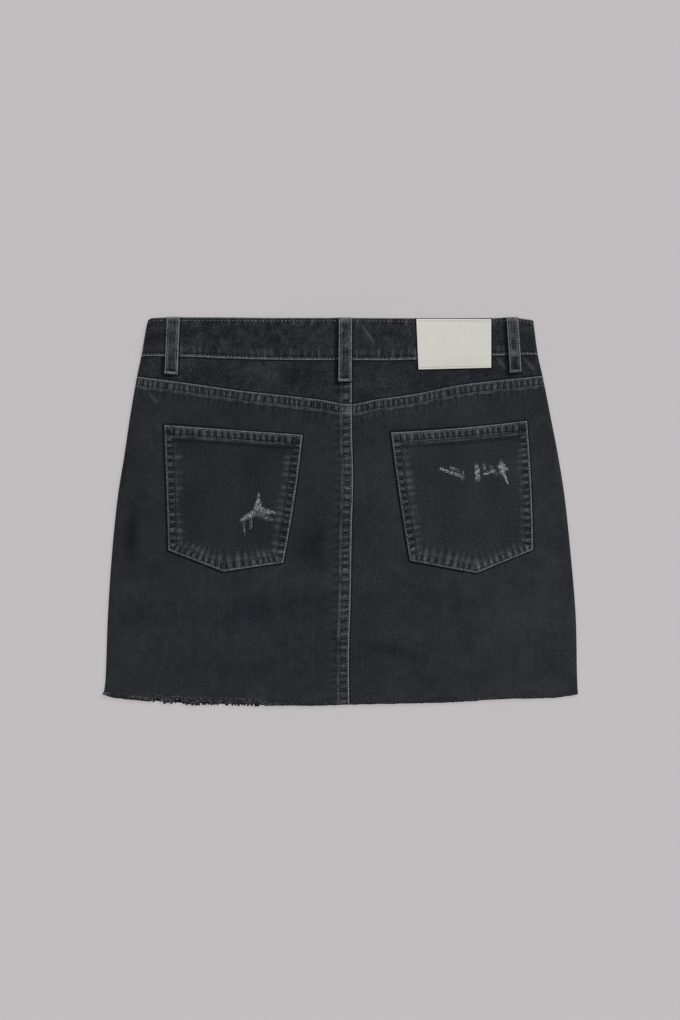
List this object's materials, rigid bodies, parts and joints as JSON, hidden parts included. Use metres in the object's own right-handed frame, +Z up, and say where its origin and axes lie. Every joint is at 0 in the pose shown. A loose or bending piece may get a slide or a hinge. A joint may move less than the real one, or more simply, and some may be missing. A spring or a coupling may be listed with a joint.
{
  "type": "denim skirt",
  "caption": "Short denim skirt with back yoke, patch pockets, belt loops and a raw hem, laid flat with its back up.",
  "frame": {"origin": "under the middle of the skirt's bounding box, on the surface it lies on", "axes": "+X across the skirt to the right as its back is seen, +Y from the hem to the waist, +Z up from the surface, out of the skirt's back"},
  "size_m": [0.4745, 0.3879, 0.0148],
  "materials": {
    "denim": "faded black right-hand twill denim, worn pale along its folded edges",
    "label": "smooth pale leather, bare",
    "zip": "black woven tape with a dark metal chain",
    "button": "plain antique metal shank button"
  },
  "bodies": {
    "root": {"back_panel_left": "denim", "back_panel_right": "denim", "yoke_left": "denim", "yoke_right": "denim", "back_pocket_left": "denim", "back_pocket_right": "denim", "front_panel_left": "denim", "front_panel_right": "denim", "waistband": "denim", "belt_loop_back_left": "denim", "belt_loop_back_centre": "denim", "belt_loop_back_right": "denim", "belt_loop_front_left": "denim", "belt_loop_front_right": "denim", "label": "label", "zip": "zip", "button": "button"}
  },
  "joints": []
}
